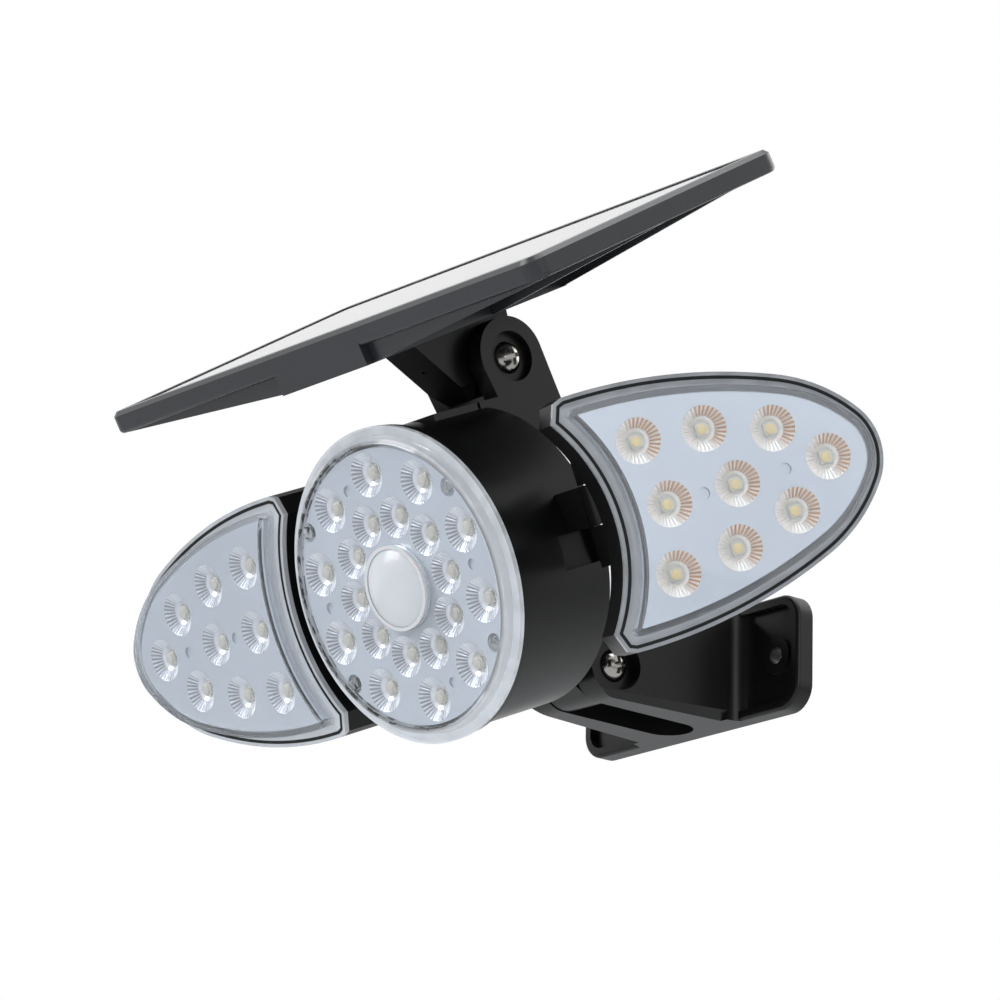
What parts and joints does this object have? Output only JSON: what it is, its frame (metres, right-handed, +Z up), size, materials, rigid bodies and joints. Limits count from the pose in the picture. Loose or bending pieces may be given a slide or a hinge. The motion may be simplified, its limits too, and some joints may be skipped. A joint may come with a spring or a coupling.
{
  "type": "motion sensor security light",
  "caption": "Solar motion sensor wall light with a round LED head, two hinged wing lamps, a tilting solar panel and a wall bracket.",
  "frame": {"origin": "centre of the wall plate's back face, which lies against the wall", "axes": "+Y points from the lamp into the wall, +Z is up, +X is to the right for someone who faces the lamp"},
  "size_m": [0.2612, 0.1572, 0.1679],
  "materials": {
    "black_plastic": "moulded black ABS, satin with a fine grain",
    "grey_plastic": "moulded grey frame, satin",
    "inner_plastic": "moulded plain",
    "white_plastic": "moulded white, glossy",
    "dome": "milky polyethylene, thin",
    "clear_cover": "clear polycarbonate, polished",
    "reflector": "moulded pale reflector plate with glossy cups",
    "led": "white package with a phosphor window",
    "led_board": "aluminium board under white solder mask",
    "circuit_board": "glass-epoxy board under green solder mask",
    "cell_wrap": "shrunk sleeve",
    "seal": "moulded silicone cord",
    "button_rubber": "moulded, matt",
    "bright_screw": "nickel-plated steel, bright",
    "steel": "ground steel",
    "glass": "low-iron cover glass, polished",
    "cells": "monocrystalline cells laminated behind the glass"
  },
  "bodies": {
    "bracket": {"wall_bracket": "black_plastic", "head_pivot_screw": "bright_screw", "head_pivot_nut": "bright_screw"},
    "head": {"head_housing": "black_plastic", "rear_cover": "black_plastic", "rear_cover_screws": "bright_screw", "lens_seal": "seal", "head_lens": "clear_cover", "head_reflector": "reflector", "head_leds": "led", "head_led_board": "led_board", "sensor_collar": "white_plastic", "sensor_dome": "dome", "motion_sensor": "steel", "control_board": "circuit_board", "battery_holder": "inner_plastic", "battery_cells": "cell_wrap", "mode_switch": "inner_plastic", "right_hinge_arm": "black_plastic", "left_hinge_arm": "black_plastic", "panel_pivot_screw": "bright_screw", "panel_pivot_nut": "bright_screw"},
    "button": {"mode_button": "button_rubber"},
    "right_wing": {"right_wing_shell": "black_plastic", "right_wing_lens": "clear_cover", "right_wing_seal": "seal", "right_wing_reflector": "reflector", "right_wing_leds": "led", "right_wing_led_board": "led_board", "right_wing_screws": "bright_screw", "right_wing_hinge_pin": "steel"},
    "left_wing": {"left_wing_shell": "black_plastic", "left_wing_lens": "clear_cover", "left_wing_seal": "seal", "left_wing_reflector": "reflector", "left_wing_leds": "led", "left_wing_led_board": "led_board", "left_wing_screws": "bright_screw", "left_wing_hinge_pin": "steel"},
    "panel": {"panel_tray": "black_plastic", "panel_bezel": "grey_plastic", "solar_glass": "glass", "solar_cells": "cells", "panel_arm": "black_plastic", "panel_arm_screws": "bright_screw"}
  },
  "joints": [
    {"name": "head_tilt", "type": "hinge", "parent": "bracket", "child": "head", "pos_m": [0, -0.0494, -0.0074], "axis": [1, 0, 0], "range_deg": [-24, 50]},
    {"name": "panel_tilt", "type": "hinge", "parent": "head", "child": "panel", "pos_m": [0, -0.09128, 0.08101], "axis": [1, 0, 0], "range_deg": [-40, 12]},
    {"name": "right_swivel", "type": "hinge", "parent": "head", "child": "right_wing", "pos_m": [0.0592, -0.09311, 0.02513], "axis": [0, -0.4067, 0.9135], "range_deg": [-67, 18]},
    {"name": "left_swivel", "type": "hinge", "parent": "head", "child": "left_wing", "pos_m": [-0.0592, -0.09311, 0.02513], "axis": [0, 0.4067, -0.9135], "range_deg": [-8, 77]},
    {"name": "mode_button_press", "type": "slide", "parent": "head", "child": "button", "axis": [0, -0.9135, -0.4067], "range_m": [0, 0.0012], "stiffness_N_per_m": 800, "springref_m": -0.0008}
  ]
}
